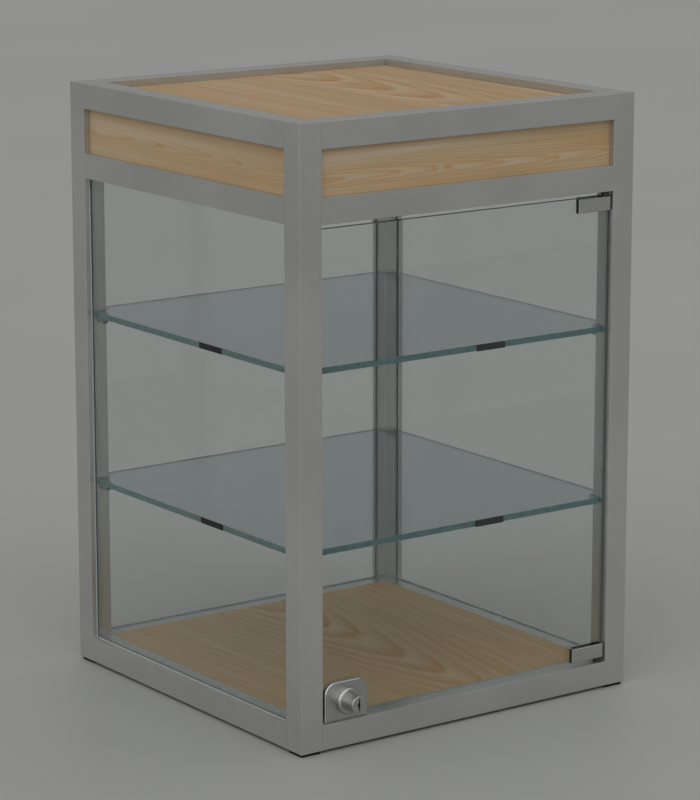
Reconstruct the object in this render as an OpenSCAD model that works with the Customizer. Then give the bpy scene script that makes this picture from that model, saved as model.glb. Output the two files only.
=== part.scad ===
// Countertop display case: a frame of slotted square tube with three fixed panes, a
// frameless swing door on corner clamps with a cam lock, two notched glass shelves,
// and wooden base, header and top boards.  Millimetres, +Z up.  -Y is the door side.
// The origin is the middle of the space that the case takes up, with the nose of its
// lock, on the surface that the feet stand on.

/* [Case] */
// Width over the frame, left to right
case_w = 400; // [340:1:600]
// Depth over the frame, front to rear
case_d = 400; // [340:1:600]
// Clear height of the glazed opening
glazed_h = 480; // [430:1:700]
// Clear height of the header opening that holds the wooden boards
header_h = 45; // [30:1:90]

/* [Frame tube] */
// Side of the square tube
tube = 25; // [24:0.5:30]
// Wall of the tube
tube_wall = 2; // [1.6:0.1:2.4]
// Radius on the tube's long edges
tube_edge_r = 0.3; // [0.3:0.1:2]
// Thickness of the webs at the bottom of the grooves
web_t = 1.2; // [1:0.1:1.6]
// Width of the ledges inside the rails that carry the boards
ledge_w = 7; // [7:0.5:10]
// Thickness of those ledges
ledge_t = 1.6; // [1.2:0.1:2]
// How far the arms of the corner blocks reach into the rails
block_arm = 22; // [15:1:28]
// Slack round a corner block in the tube
block_slack = 0.2; // [0.1:0.05:0.3]

/* [Panes] */
// Depth of the glass behind the faces of the frame
glass_inset = 6; // [5:0.5:7]
// Thickness of the fixed panes
pane_t = 4; // [3:0.5:6]
// How deep the panes reach into the grooves
pane_bite = 7; // [6:0.5:9]
// Thickness of the rubber channel round each pane
seal_t = 0.8; // [0.5:0.1:1.2]
// How far the rubber channel stands out of its groove
seal_lip = 0.6; // [0.3:0.1:0.8]

/* [Boards] */
// Thickness of the header boards
fascia_t = 6; // [4:0.5:7]
// Depth of the header boards behind the faces of the frame
fascia_inset = 7; // [6:0.5:8]
// How deep the header boards reach into the grooves
fascia_bite = 7; // [4:0.5:8]
// Slack of a header board in its groove
fascia_slack = 0.1; // [0.05:0.05:0.3]
// Thickness of the top board
top_board_t = 6; // [4:0.5:10]
// Depth of the top board below the top of the frame
top_inset = 7; // [3:0.5:9]
// Thickness of the ceiling board under the header
ceiling_t = 5; // [3:0.5:9]
// Thickness of the base board, which lies level with the rails
base_board_t = 9; // [6:0.5:14]
// Gap round the base, ceiling and top boards
board_gap = 0.5; // [0.2:0.1:1.5]
// Diameter of the screws that hold the base board
board_screw_d = 3; // [2.5:0.1:3.5]
// Diameter of their countersunk heads
board_screw_head_d = 6; // [5:0.1:6.5]
// Length of those screws
board_screw_l = 7; // [5:0.5:7.5]
// Distance of those screws from the posts
board_screw_x = 60; // [20:1:100]

/* [Shelves] */
// Thickness of the shelves
shelf_t = 6; // [5:0.5:8]
// Height of the lower shelf's underside above the base board
lower_shelf_h = 163; // [100:1:190]
// Height of the upper shelf's underside above the base board
upper_shelf_h = 337.5; // [260:0.5:380]
// Gap between a shelf's edges and the panes
shelf_gap = 0.5; // [0.3:0.1:2]
// Distance between the back of the door and the shelves
shelf_setback = 3; // [2.5:0.1:10]
// Gap round the posts in the notched corners of a shelf
notch_gap = 1; // [0.9:0.1:2]

/* [Shelf buffers] */
// Length of the buffer that the closed door rests on
front_buffer_l = 33; // [20:1:60]
// Length of the buffers between a shelf and the panes
side_buffer_l = 39; // [20:1:60]
// Gap between the closed door and the front buffer
buffer_gap = 0.3; // [0.1:0.05:0.5]
// Place of the front buffer, right of the middle
front_buffer_x = 32.5; // [-60:0.5:60]
// Place of the left buffer, forward of the middle
left_buffer_y = 38.5; // [-60:0.5:60]
// Place of the rear buffer, left of the middle
rear_buffer_x = 58.5; // [-60:0.5:60]

/* [Shelf studs] */
// Distance of the studs' axes behind the faces of the frame
stud_inset = 18.5; // [16:0.5:19]
// Diameter of a stud's head
stud_d = 8; // [6.5:0.5:10]
// How far a stud stands out of the post
stud_reach = 9; // [6:0.5:14]
// Diameter of the spigot that plugs into the post
stud_spigot_d = 5; // [4:0.5:6]
// Length of the spigot
stud_spigot_l = 6; // [4:0.5:10]
// Height of the flat that a shelf rests on, above the stud's axis
stud_flat = 3; // [2:0.25:3]

/* [Door] */
// Thickness of the door
door_t = 5; // [4:0.5:6]
// Gap between the door and each post
door_side_gap = 2; // [1.6:0.1:3]
// Gap between the lower rail and the door
door_foot_gap = 5; // [4.5:0.1:8]
// Gap between the door and the rail above it
door_head_gap = 5; // [4:0.1:8]

/* [Door hinges] */
// Distance of the pivot axis from the face of the right post
pivot_offset = 6; // [5.6:0.1:8]
// Distance of the pivot axis in front of the glass
pivot_ahead = 0.6; // [0.4:0.1:1.2]
// Diameter of a pivot pin
pivot_d = 4; // [3:0.5:4.5]
// How deep a pin reaches into its bush
pivot_bite = 6; // [4:0.5:6.5]
// Radial clearance of a pin in its bush
pivot_clear = 0.05; // [0.02:0.01:0.1]
// Width of a corner clamp
clamp_w = 40; // [32:1:50]
// Height of a corner clamp
clamp_h = 14; // [12:0.5:20]
// Thickness of the clamp's outer jaw
clamp_outer_t = 3.9; // [3:0.1:4.1]
// Thickness of the clamp's inner jaw
clamp_inner_t = 3; // [2.5:0.1:4]
// How much shorter the inner jaw is than the outer one
jaw_setback = 7; // [5:0.5:9]
// Width of the core that joins the jaws and carries the pin
clamp_core_w = 10; // [9:0.5:12]
// Bevel round the front of a clamp
clamp_bevel = 0.3; // [0.2:0.1:1]
// Thickness of the liner between a clamp and the glass
liner_t = 0.5; // [0.3:0.1:0.8]
// Diameter of the grub screws in the inner jaw
grub_d = 4; // [3:0.5:5]
// Distance between the two grub screws of a clamp
grub_pitch = 10; // [8:1:18]
// Width across the flats of a grub screw's socket
grub_socket_af = 2; // [1.3:0.1:2]
// Depth of that socket
grub_socket_l = 1.5; // [1:0.1:2]
// Length of a bush
bush_l = 7.5; // [7:0.1:8.5]
// Wall of a bush
bush_wall = 1; // [0.8:0.1:1.2]
// Width of a bush's flange past its wall
bush_flange_w = 0.95; // [0.5:0.05:1.2]
// Running gap between a clamp and the flange of its bush
flange_gap = 0.15; // [0.1:0.05:0.4]

/* [Lock plate] */
// Width of the lock plate
lock_w = 50; // [44:1:60]
// Height of the lock plate
lock_h = 38; // [36:1:50]
// Radius of the plate's upper corners
lock_corner_r = 12; // [4:0.5:14]
// Bevel round the front of the plate
lock_bevel = 0.8; // [0.3:0.1:1.5]
// Gap between the plate and the rail under it
lock_foot_gap = 1.5; // [1:0.1:3]
// Distance of the plate from the left edge of the door
lock_edge_gap = 0.8; // [0:0.1:10]
// Distance of the lock's axis from the left edge of the plate
lock_axis_x = 26; // [20:0.5:30]
// Height of the lock's axis above the plate's lower edge
lock_axis_h = 18.5; // [17:0.5:22]
// Thickness of the gaskets on both sides of the glass
gasket_t = 0.8; // [0.5:0.1:1.2]
// Distance of the gasket's edge inside the edge of the plate
gasket_margin = 1; // [0.5:0.1:3]

/* [Lock barrel] */
// Diameter of the collar at the foot of the nose
collar_d = 26.5; // [24:0.5:32]
// Height of the collar
collar_h = 5; // [3:0.5:8]
// Radius of the collar's rounded shoulder
collar_r = 2.5; // [1:0.25:3]
// Diameter of the nose
nose_d = 17.5; // [17:0.5:20]
// Distance that the nose stands out of the plate
nose_l = 20; // [10:0.5:26]
// Rounding of the nose's front edge
nose_r = 0.8; // [0.4:0.1:1]
// Diameter of the turning plug
plug_d = 14.5; // [13:0.5:15]
// Radial clearance of the plug in its barrel
plug_clear = 0.06; // [0.03:0.01:0.1]
// Depth of the plug's face behind the end of the nose
plug_recess = 0.3; // [0:0.1:1]
// Length of the keyway
keyway_l = 12; // [8:0.5:12]
// Width of the keyway
keyway_w = 1.4; // [1.4:0.1:2.5]
// Depth of the keyway's side groove
keyway_step = 1.4; // [0.6:0.1:1.6]
// Height of the keyway's side groove
keyway_step_h = 3.5; // [2:0.5:4]
// Depth of the keyway
keyway_deep = 14; // [6:1:18]
// Diameter of the threaded barrel behind the plate
barrel_d = 17; // [16.5:0.5:18]
// Gap round the barrel in the glass
barrel_gap = 1; // [0.5:0.1:2]

/* [Lock fastening] */
// Diameter of the washer behind the glass
washer_d = 28; // [24:1:30]
// Thickness of the washer
washer_t = 2; // [1:0.1:3]
// Width across the flats of the nut
nut_af = 22; // [20:0.5:24]
// Thickness of the nut
nut_t = 3.5; // [2.5:0.1:4]

/* [Lock cam] */
// Gap between the nut and the cam
cam_gap = 0.5; // [0.3:0.1:1]
// Thickness of the cam
cam_t = 1.8; // [1.4:0.1:2]
// Width of the cam
cam_w = 10; // [8:0.5:12]
// Diameter of the cam's hub
cam_hub_d = 15; // [12:0.5:16]
// How deep the turned cam reaches below the face of the rail
cam_bite = 5.5; // [4:0.5:7]
// Gap round the cam in the slot of the rail
slot_gap = 0.7; // [0.5:0.1:1]
// Side of the plug's square tail
tail_side = 7; // [6:0.5:8]
// Diameter of the cam screw
cam_screw_d = 4; // [3:0.5:4]
// Length of the cam screw
cam_screw_l = 8; // [5:0.5:12]
// Diameter of the cam screw's head
cam_head_d = 9; // [8.5:0.5:11]
// Height of the cam screw's head
cam_head_t = 2; // [1.5:0.1:2.5]

/* [Feet] */
// Height of the feet under the frame
foot_h = 3; // [2.5:0.25:8]
// Distance of a foot's sides inside the faces of the tube
foot_inset = 1.5; // [1:0.25:4]
// Corner radius of a foot
foot_r = 2; // [1:0.25:4]
// Height of the boss that locates a foot in the end of the post
foot_boss_h = 1; // [0.6:0.1:1.5]
// Diameter of the screws in the feet
foot_screw_d = 3.5; // [3:0.5:4]
// Diameter of their countersunk heads
foot_screw_head_d = 7; // [6:0.25:7.5]
// Length of those screws
foot_screw_l = 11; // [8:0.5:13]
// Depth of the heads inside the underside of the feet
foot_screw_sink = 0.4; // [0.2:0.1:0.6]

/* [Hidden] */
$fn = 48;

// Overlap of pieces of one solid, and the reach of a cut past the face that it opens
overlap = 0.5;

// Place of the frame's middle and outer faces along Y: the nose of the lock stands out
// in front of the frame
frame_y = nose_l / 2;
frame_front_y = frame_y - case_d / 2;
frame_rear_y = frame_y + case_d / 2;

// Sides of the case, anticlockwise from above
front = 0;
right = 1;
rear = 2;
left = 3;
sides = [front, right, rear, left];
function side_span(side) = side % 2 == 0 ? case_w : case_d;
function rail_span(side) = side_span(side) - 2 * tube;

// Heights of the openings between the rails, and of the frame's top
sill_z = foot_h + tube;
head_z = sill_z + glazed_h;
header_z = head_z + tube;
crown_z = header_z + header_h;
top_z = crown_z + tube;

// Grooves, as their near and far sides behind the outer face, and their depth
no_groove = [0, 0, 0];
pane_groove = [glass_inset - seal_t, glass_inset + pane_t + seal_t, pane_bite + seal_t];
fascia_groove = [fascia_inset - fascia_slack, fascia_inset + fascia_t + fascia_slack,
    fascia_bite + fascia_slack];

// Lower and upper face of the corner blocks of each level, between the webs
pane_web = pane_groove[2] + web_t + block_slack;
fascia_web = fascia_groove[2] + web_t + block_slack;
low_block = [foot_h + tube_wall + block_slack, sill_z - pane_web];
mid_block = [head_z + pane_web, header_z - fascia_web];
high_block = [crown_z + fascia_web, top_z - tube_wall - block_slack];
block_side = tube - 2 * tube_wall - 2 * block_slack;

// Boards
base_board_z = sill_z - base_board_t;
ceiling_z = head_z + ledge_t;
top_board_z = top_z - top_inset - top_board_t;

// Door
door_front_y = frame_front_y + glass_inset;
door_rear_y = door_front_y + door_t;
door_left_x = -case_w / 2 + tube + door_side_gap;
door_right_x = case_w / 2 - tube - door_side_gap;
door_foot_z = sill_z + door_foot_gap;
door_head_z = head_z - door_head_gap;

// Shelves
shelf_half_w = case_w / 2 - glass_inset - pane_t - shelf_gap;
shelf_rear_y = frame_rear_y - glass_inset - pane_t - shelf_gap;
shelf_front_y = door_rear_y + shelf_setback;

// Pivot axis, and the faces of a clamp across the glass, measured from that axis
pivot_x = case_w / 2 - tube - pivot_offset;
pivot_y = door_front_y - pivot_ahead;
throat_front = pivot_ahead - liner_t;
throat_rear = pivot_ahead + door_t + liner_t;
jaw_front = throat_front - clamp_outer_t;
jaw_rear = throat_rear + clamp_inner_t;
clamp_right = pivot_offset - door_side_gap;
clamp_left = clamp_right - clamp_w;
inner_left = clamp_left + jaw_setback;
core_left = clamp_right - clamp_core_w;
bush_d = pivot_d + 2 * pivot_clear + 2 * bush_wall;

// Lock: its axis, and the faces along that axis
plate_t = glass_inset - gasket_t;
lock_x = door_left_x + lock_edge_gap + lock_axis_x;
lock_z = sill_z + lock_foot_gap + lock_axis_h;
nose_front_y = frame_front_y - nose_l;
washer_y = door_rear_y + gasket_t;
nut_y = washer_y + washer_t;
barrel_end_y = nut_y + nut_t;
cam_y = barrel_end_y + cam_gap;
cam_reach = lock_z - sill_z + cam_bite;

frame_grey = "darkgray";
wood = "burlywood";
steel = "gainsboro";
clear_glass = "lightcyan";

// An oblong from the origin with its four corners rounded
module round_square(size, r) {
    translate([r, 0]) square([size[0] - 2 * r, size[1]]);
    translate([0, r]) square([size[0], size[1] - 2 * r]);
    for (x = [r, size[0] - r], y = [r, size[1] - r]) translate([x, y]) circle(r);
}

// An oblong from the origin with bevels on the two corners at its front, y = 0
module bevelled_square(size, bevel) {
    polygon([[bevel, 0], [size[0] - bevel, 0], [size[0], bevel], size, [0, size[1]], [0, bevel]]);
}

// A hexagon from the width across its flats
module hexagon(across_flats) {
    circle(d = across_flats / cos(30), $fn = 6);
}

// Swaps X and Y
module swap_xy() {
    mirror([1, -1, 0]) children();
}

// Lays a profile drawn as [inwards, up] along X, centred, with the given length
module lay_along_x(length) {
    rotate([90, 0, 90]) translate([0, 0, -length / 2]) linear_extrude(height = length) children();
}

// Puts a piece on one side of the case.  Its X runs along the side, from the middle
// to the right as seen from outside, and its Y goes inwards from the outer face.
module on_side(side) {
    translate([0, frame_y, 0]) rotate([0, 0, 90 * side])
        translate([0, -side_span(side + 1) / 2, 0]) children();
}

// Puts a piece on the post at the left end of a side, from the post's outer corner
module on_post(side) {
    on_side(side) translate([-side_span(side) / 2, 0, 0]) children();
}

// Turns what is drawn for the wall of a post that faces along X to the wall that faces
// along the depth of the case
module along_depth(side) {
    if (side % 2 == 1) children();
    else swap_xy() children();
}

// A countersunk screw that points up, with the face of its head at zero and any space
// that is left in front of that face
module countersunk(d, head_d, length, before = 0) {
    rotate_extrude() polygon([[0, -before], [head_d / 2, -before], [head_d / 2, 0],
        [d / 2, (head_d - d) / 2], [d / 2, length], [0, length]]);
}

// A groove opens one wall of the tube, and a web closes the groove at its bottom.
// Both are drawn for the lower wall.
module groove_opening(groove) {
    translate([groove[0], -overlap]) square([groove[1] - groove[0], tube_wall + 2 * overlap]);
}

module groove_web(groove) {
    translate([tube_wall / 2, groove[2]]) square([tube - tube_wall, web_t]);
}

// Turns what is drawn for the lower wall over to the upper wall
module upper_wall() {
    translate([0, tube]) mirror([0, 1]) children();
}

module rail_section(upper_groove, lower_groove) {
    difference() {
        round_square([tube, tube], tube_edge_r);
        translate([tube_wall, tube_wall]) square(tube - 2 * tube_wall);
        if (upper_groove != no_groove) upper_wall() groove_opening(upper_groove);
        if (lower_groove != no_groove) groove_opening(lower_groove);
    }
    if (upper_groove != no_groove) upper_wall() groove_web(upper_groove);
    if (lower_groove != no_groove) groove_web(lower_groove);
}

// A rail of one side, from the height given, with a ledge at a height on its inner
// face.  The ledge stops short of the ledges of the sides beside it.
module rail(side, z, upper_groove, lower_groove, ledge_z) {
    on_side(side) translate([0, 0, z]) {
        lay_along_x(rail_span(side)) rail_section(upper_groove, lower_groove);
        lay_along_x(rail_span(side) - 2 * ledge_w - 2 * board_gap)
            translate([tube - tube_wall, ledge_z - z]) square([tube_wall + ledge_w, ledge_t]);
    }
}

module rail_bottom(side) {
    difference() {
        rail(side, foot_h, side == front ? no_groove : pane_groove, no_groove,
            base_board_z - ledge_t);
        at_board_screws(side)
            countersunk(board_screw_d, board_screw_head_d, board_screw_l, overlap);
    }
}

module rail_middle(side) {
    rail(side, head_z, fascia_groove, side == front ? no_groove : pane_groove, head_z);
}

module rail_top(side) {
    rail(side, crown_z, no_groove, fascia_groove, top_board_z - ledge_t);
}

// The slot in the front rail that the cam turns into: from the cam's left edge once it
// points down, to where its tip first meets the face of the rail
module cam_slot() {
    slot_left = -cam_w / 2 - slot_gap;
    slot_right = sqrt(pow(cam_reach, 2) - pow(lock_z - sill_z, 2)) + slot_gap;
    translate([lock_x + slot_left, cam_y - slot_gap, sill_z - tube_wall - overlap])
        cube([slot_right - slot_left, cam_t + 2 * slot_gap, tube_wall + 2 * overlap]);
}

// The bore for a bush, drawn upwards from the face of the rail
module bush_bore() {
    translate([0, 0, -overlap]) cylinder(h = bush_l + 2 * overlap, d = bush_d);
}

// An opening through the inner wall of a post that faces along X
module wall_opening(across, z) {
    translate([tube - tube_wall - overlap, across[0], z[0]])
        cube([tube_wall + 2 * overlap, across[1] - across[0], z[1] - z[0]]);
}

// The windows that the arms of the corner blocks pass through
module block_windows() {
    for (block = [low_block, mid_block, high_block])
        wall_opening([tube_wall, tube - tube_wall],
            [block[0] - block_slack, block[1] + block_slack]);
}

module post_grooves(has_pane) {
    wall_opening(fascia_groove, [header_z - fascia_groove[2], crown_z + fascia_groove[2]]);
    if (has_pane)
        wall_opening(pane_groove, [sill_z - pane_groove[2], head_z + pane_groove[2]]);
}

module stud_holes() {
    for (lift = [lower_shelf_h, upper_shelf_h])
        translate([tube - tube_wall - overlap, stud_inset, stud_z(lift)])
            rotate([0, 90, 0]) cylinder(h = tube_wall + 2 * overlap, d = stud_spigot_d);
}

// The post at the left end of a side: one inner wall meets that side, the other meets
// the side before it.  Its top is closed, and the foot closes its lower end.
module post(side) {
    inner = tube - 2 * tube_wall;
    side_before = (side + 3) % 4;
    on_post(side) difference() {
        translate([0, 0, foot_h]) linear_extrude(height = top_z - foot_h)
            round_square([tube, tube], tube_edge_r);
        translate([tube_wall, tube_wall, foot_h - overlap])
            cube([inner, inner, top_z - tube_wall - foot_h + overlap]);
        block_windows();
        swap_xy() block_windows();
        post_grooves(side != front);
        swap_xy() post_grooves(side_before != front);
        along_depth(side) stud_holes();
    }
}

// A core in the post, with an arm into each of its two rails
module corner_block(block) {
    edge = tube_wall + block_slack;
    height = block[1] - block[0];
    translate([edge, edge, block[0]]) {
        cube([tube - edge + block_arm, block_side, height]);
        cube([block_side, tube - edge + block_arm, height]);
    }
}

// A board inside the rails
module inner_board(z, t) {
    board_w = case_w - 2 * tube - 2 * board_gap;
    board_d = case_d - 2 * tube - 2 * board_gap;
    translate([-board_w / 2, frame_y - board_d / 2, z]) cube([board_w, board_d, t]);
}

// Two screws on each side, up through the ledge
module at_board_screws(side) {
    on_side(side) for (end = [-1, 1])
        translate([end * (rail_span(side) / 2 - board_screw_x), tube + ledge_w / 2,
            base_board_z - ledge_t]) children();
}

// A header board, which rests on the web of the groove under it
module fascia(side) {
    color(wood) on_side(side)
        translate([-rail_span(side) / 2 - fascia_bite, fascia_inset, header_z - fascia_groove[2]])
            cube([rail_span(side) + 2 * fascia_bite, fascia_t,
                header_h + fascia_bite + fascia_groove[2]]);
}

// A plate across the opening of a side, that grows past a pane on both faces and
// reaches past the edges of the opening
module across_opening(side, growth, reach) {
    on_side(side)
        translate([-rail_span(side) / 2 - reach, glass_inset - growth, sill_z - reach])
            cube([rail_span(side) + 2 * reach, pane_t + 2 * growth, glazed_h + 2 * reach]);
}

module pane(side) {
    color(clear_glass, 0.35) across_opening(side, 0, pane_bite);
}

// The rubber channel: over the edges of the pane, and open where one looks through
module seal(side) {
    color("slategray") difference() {
        across_opening(side, seal_t, pane_groove[2]);
        across_opening(side, 0, pane_bite);
        across_opening(side, seal_t + overlap, -seal_lip);
    }
}

// An oblong with a notch for each post
module shelf(lift) {
    notch_x = case_w / 2 - tube - notch_gap;
    notch_y = case_d / 2 - tube - notch_gap;
    color(clear_glass, 0.5) translate([0, 0, sill_z + lift]) linear_extrude(height = shelf_t) {
        translate([-notch_x, shelf_front_y])
            square([2 * notch_x, shelf_rear_y - shelf_front_y]);
        translate([-shelf_half_w, frame_y - notch_y]) square([2 * shelf_half_w, 2 * notch_y]);
    }
}

// Buffers on the edges of a shelf, as high as its glass: the door closes against the
// front one, and the other two keep the shelf off the panes
module shelf_buffers(lift) {
    front_t = shelf_setback - buffer_gap;
    color("black") translate([0, 0, sill_z + lift]) {
        translate([front_buffer_x - front_buffer_l / 2, shelf_front_y - front_t, 0])
            cube([front_buffer_l, front_t, shelf_t]);
        translate([-shelf_half_w - shelf_gap, frame_y - left_buffer_y - side_buffer_l / 2, 0])
            cube([shelf_gap, side_buffer_l, shelf_t]);
        translate([-rear_buffer_x - side_buffer_l / 2, shelf_rear_y, 0])
            cube([side_buffer_l, shelf_gap, shelf_t]);
    }
}

function stud_z(lift) = sill_z + lift - stud_flat;

// A stud in the wall of a post that faces along X, with a flat for the shelf
module shelf_stud(lift) {
    translate([tube, stud_inset, stud_z(lift)]) difference() {
        translate([-stud_spigot_l, 0, 0]) rotate([0, 90, 0]) {
            cylinder(h = stud_spigot_l + overlap, d = stud_spigot_d);
            translate([0, 0, stud_spigot_l]) cylinder(h = stud_reach, d = stud_d);
        }
        translate([0, -stud_d, stud_flat]) cube([stud_reach + overlap, 2 * stud_d, stud_d]);
    }
}

// One stud on each post, pointing along the depth of the case
module shelf_studs(lift) {
    color("whitesmoke") for (side = sides) on_post(side) along_depth(side) shelf_stud(lift);
}

// Puts a piece under the middle of each post
module at_feet() {
    for (side = sides) on_post(side) translate([tube / 2, tube / 2, 0]) children();
}

// A rounded square about the origin
module foot_square(side_l) {
    translate([-side_l / 2, -side_l / 2]) round_square([side_l, side_l], foot_r);
}

// The hinges are drawn with the pivot axis at the origin and the edge of the glass at
// z = 0, with the glass below it
module at_upper_hinge() {
    translate([pivot_x, pivot_y, door_head_z]) children();
}

module at_lower_hinge() {
    translate([pivot_x, pivot_y, door_foot_z]) mirror([0, 0, 1]) children();
}

// The corner that the clamp's core and its liner take out of the glass
module glass_notch() {
    translate([core_left - liner_t, pivot_ahead - overlap, -clamp_h - liner_t])
        cube([clamp_core_w + liner_t + overlap, door_t + 2 * overlap, clamp_h + liner_t + overlap]);
}

// The space left of the inner jaw, from a distance behind the pivot axis
module beside_inner_jaw(from_y) {
    translate([clamp_left - overlap, from_y, -clamp_h - liner_t - overlap])
        cube([jaw_setback + overlap, jaw_rear + overlap - from_y, clamp_h + liner_t + 2 * overlap]);
}

// A jaw on each side of the glass, joined by the core at the corner.  It is bevelled
// round its front, the throat between the jaws is open to the left, and the inner jaw
// is the shorter one.
module clamp_body() {
    depth = jaw_rear - jaw_front;
    difference() {
        intersection() {
            translate([clamp_left, jaw_front, -clamp_h]) linear_extrude(height = clamp_h)
                bevelled_square([clamp_w, depth], clamp_bevel);
            translate([clamp_right - clamp_w / 2, jaw_front, -clamp_h]) lay_along_x(clamp_w)
                swap_xy() bevelled_square([clamp_h, depth], clamp_bevel);
        }
        translate([clamp_left - overlap, throat_front, -clamp_h - overlap])
            cube([clamp_w - clamp_core_w + overlap, throat_rear - throat_front,
                clamp_h + 2 * overlap]);
        beside_inner_jaw(throat_front + overlap);
        at_grub_screws() cylinder(h = clamp_inner_t + overlap, d = grub_d);
    }
}

// The grub screws start at the liner and point to the rear
module at_grub_screws() {
    jaw_middle = (inner_left + core_left) / 2;
    for (end = [-1, 1])
        translate([jaw_middle + end * grub_pitch / 2, throat_rear, -clamp_h / 2])
            rotate([-90, 0, 0]) children();
}

// A clamp with its pin, which crosses the gap beyond the glass and enters the bush
module hinge_clamp(gap) {
    clamp_body();
    translate([0, 0, -clamp_h / 2]) cylinder(h = clamp_h / 2 + gap + pivot_bite, d = pivot_d);
}

// Liner between a clamp and the glass: on both faces, and round the core
module clamp_liner() {
    throat_w = throat_rear - throat_front;
    difference() {
        union() {
            translate([clamp_left, throat_front, -clamp_h])
                cube([clamp_w - clamp_core_w, throat_w, clamp_h]);
            translate([core_left - liner_t, throat_front, -clamp_h - liner_t])
                cube([clamp_core_w + liner_t, throat_w, liner_t + overlap]);
        }
        translate([clamp_left - overlap, pivot_ahead, -clamp_h - liner_t - overlap])
            cube([core_left - liner_t - clamp_left + overlap, door_t,
                clamp_h + liner_t + 2 * overlap]);
        beside_inner_jaw(pivot_ahead + overlap);
        clamp_body();
    }
}

// A screw without a head, level with the face of the inner jaw, with a hexagon socket
module grub_screw() {
    difference() {
        cylinder(h = clamp_inner_t, d = grub_d);
        translate([0, 0, clamp_inner_t - grub_socket_l])
            linear_extrude(height = grub_socket_l + overlap) hexagon(grub_socket_af);
    }
}

// A bush in the face of a rail, drawn upwards from that face.  Its high flange fills the
// gap to the clamp, and the lower one carries the door.
module pivot_bush(gap) {
    bore_r = pivot_d / 2 + pivot_clear;
    flange_r = bush_d / 2 + bush_flange_w;
    flange_end = flange_gap - gap;
    color("black") rotate_extrude() polygon([[bore_r, flange_end], [flange_r, flange_end],
        [flange_r, 0], [bush_d / 2, 0], [bush_d / 2, bush_l], [bore_r, bush_l]]);
}

module at_upper_bush() {
    translate([pivot_x, pivot_y, head_z]) children();
}

module at_lower_bush() {
    translate([pivot_x, pivot_y, sill_z]) mirror([0, 0, 1]) children();
}

// Turns what is drawn round Z to the lock's axis, so that its height runs to the rear
module at_lock(y) {
    translate([lock_x, y, lock_z]) rotate([-90, 0, 0]) children();
}

// Stands up what is drawn on its back, with its outline as [right, up] from the lock's
// axis and its height towards the front, from a distance behind the plate's face
module facing_front(behind) {
    translate([lock_x, frame_front_y + behind, lock_z]) rotate([90, 0, 0]) children();
}

// The plate's outline, drawn in by a margin: its lower left corner, its size and the
// radius of its upper corners
function plate_corner(margin) = [margin - lock_axis_x, margin - lock_axis_h];
function plate_size(margin) = [lock_w - 2 * margin, lock_h - 2 * margin];
function plate_r(margin) = lock_corner_r - margin;

// The outline without the squares that hold its round corners
module stepped_outline(margin) {
    size = plate_size(margin);
    r = plate_r(margin);
    translate(plate_corner(margin)) {
        square([size[0], size[1] - r]);
        translate([r, 0]) square([size[0] - 2 * r, size[1]]);
    }
}

module at_round_corners(margin) {
    size = plate_size(margin);
    r = plate_r(margin);
    translate(plate_corner(margin)) for (x = [r, size[0] - r])
        translate([x, size[1] - r]) children();
}

module plate_outline(margin) {
    stepped_outline(margin);
    at_round_corners(margin) circle(plate_r(margin));
}

// The plate lies on its back, with a bevel all round its face
module lock_plate() {
    straight_t = plate_t - lock_bevel;
    linear_extrude(height = straight_t) plate_outline(0);
    at_round_corners(0) translate([0, 0, straight_t])
        cylinder(h = lock_bevel, r1 = plate_r(0), r2 = plate_r(lock_bevel));
    intersection() {
        linear_extrude(height = plate_t) stepped_outline(0);
        translate([plate_corner(0)[0], -lock_h, plate_t]) rotate([-90, 0, 0])
            linear_extrude(height = 2 * lock_h) bevelled_square([lock_w, plate_t], lock_bevel);
        translate([-lock_w, plate_corner(0)[1], plate_t]) rotate([0, 90, 0])
            linear_extrude(height = 2 * lock_w)
                swap_xy() bevelled_square([lock_h, plate_t], lock_bevel);
    }
}

// Profile of the collar and the nose, as [radius, distance in front of the plate]
module nose_profile() {
    collar_edge = collar_d / 2 - collar_r;
    nose_edge = nose_d / 2 - nose_r;
    translate([0, -overlap]) square([nose_d / 2, nose_l - nose_r + overlap]);
    square([collar_d / 2, collar_h - collar_r]);
    square([collar_edge, collar_h]);
    square([nose_edge, nose_l]);
    intersection() {
        translate([collar_edge, collar_h - collar_r]) circle(collar_r);
        translate([collar_edge, 0]) square([collar_r, collar_h]);
    }
    translate([nose_edge, nose_l - nose_r]) circle(nose_r);
}

// The part of the front gasket that lies on the glass
module front_gasket_outline() {
    difference() {
        intersection() {
            plate_outline(gasket_margin);
            translate([-lock_w, door_foot_z - lock_z]) square([2 * lock_w, lock_h]);
        }
        circle(d = barrel_d + 2 * barrel_gap);
    }
}

module ring(outer_d, inner_d, t) {
    linear_extrude(height = t) difference() {
        circle(d = outer_d);
        circle(d = inner_d);
    }
}

// The keyway runs up the face of the plug, with a groove in the middle of one side
module keyway(face_y) {
    translate([lock_x, face_y - overlap, lock_z]) {
        translate([-keyway_w / 2, 0, -keyway_l / 2])
            cube([keyway_w, keyway_deep + overlap, keyway_l]);
        translate([-keyway_w / 2 - keyway_step, 0, -keyway_step_h / 2])
            cube([keyway_step + overlap, keyway_deep + overlap, keyway_step_h]);
    }
}

// The cam screw, with a domed head that starts at zero
module cam_screw() {
    dome_r = cam_head_t / 2;
    rotate_extrude() {
        translate([0, -cam_screw_l]) square([cam_screw_d / 2, cam_screw_l + dome_r]);
        square([cam_head_d / 2, dome_r]);
        square([cam_head_d / 2 - dome_r, cam_head_t]);
        intersection() {
            translate([cam_head_d / 2 - dome_r, dome_r]) circle(dome_r);
            translate([0, dome_r]) square([cam_head_d, dome_r]);
        }
    }
}

module post_front_left() { color(frame_grey) post(front); }
module post_front_right() { color(frame_grey) post(right); }
module post_rear_right() { color(frame_grey) post(rear); }
module post_rear_left() { color(frame_grey) post(left); }

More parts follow.
